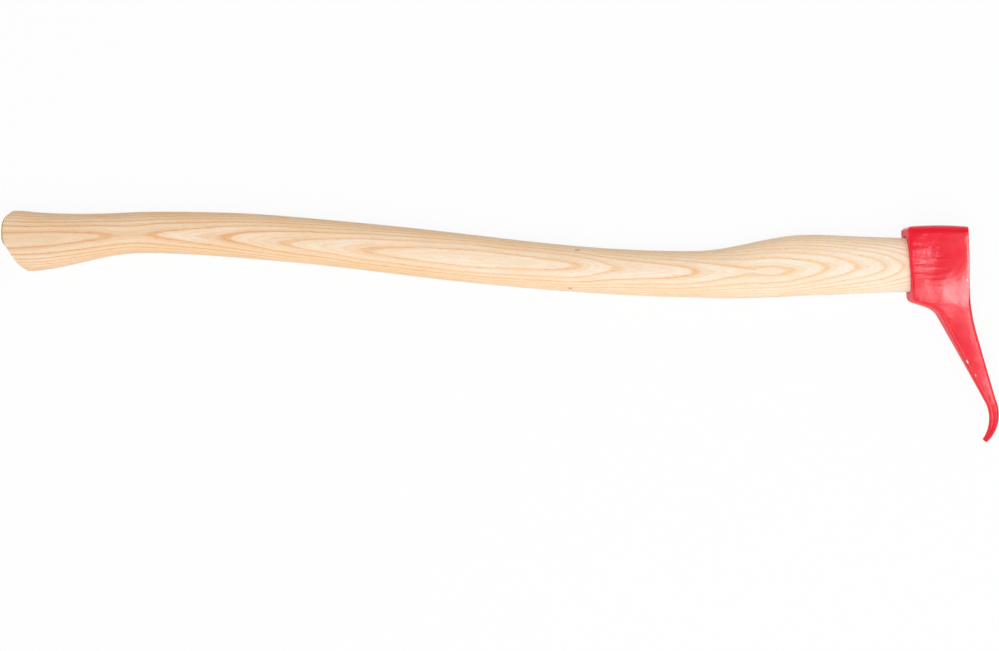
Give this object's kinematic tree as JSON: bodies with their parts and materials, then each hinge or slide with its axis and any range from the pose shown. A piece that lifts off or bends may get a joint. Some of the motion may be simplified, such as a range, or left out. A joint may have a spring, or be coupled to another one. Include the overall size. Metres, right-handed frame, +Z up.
{
  "type": "hand log pick",
  "caption": "Hand log pick: a forged steel head with a long tapering pick and curled tip, wedged on a curved wooden handle with a flared butt.",
  "frame": {"origin": "under the centre of the eye, on the head's lower flat cheek, with the tool lying on its side", "axes": "+X along the handle towards the head, +Y in the plane of the pick and away from its tip, +Z up through the head's thickness"},
  "size_m": [0.8266, 0.1925, 0.031],
  "materials": {
    "ash_wood": "smooth sanded ash, lightly oiled",
    "red_paint": "gloss red paint over forged steel",
    "wedge_wood": "split hardwood",
    "wedge_steel": "bare steel"
  },
  "bodies": {
    "root": {"handle": "ash_wood", "pick_head": "red_paint", "wooden_wedge": "wedge_wood", "ring_wedge": "wedge_steel"}
  },
  "joints": []
}
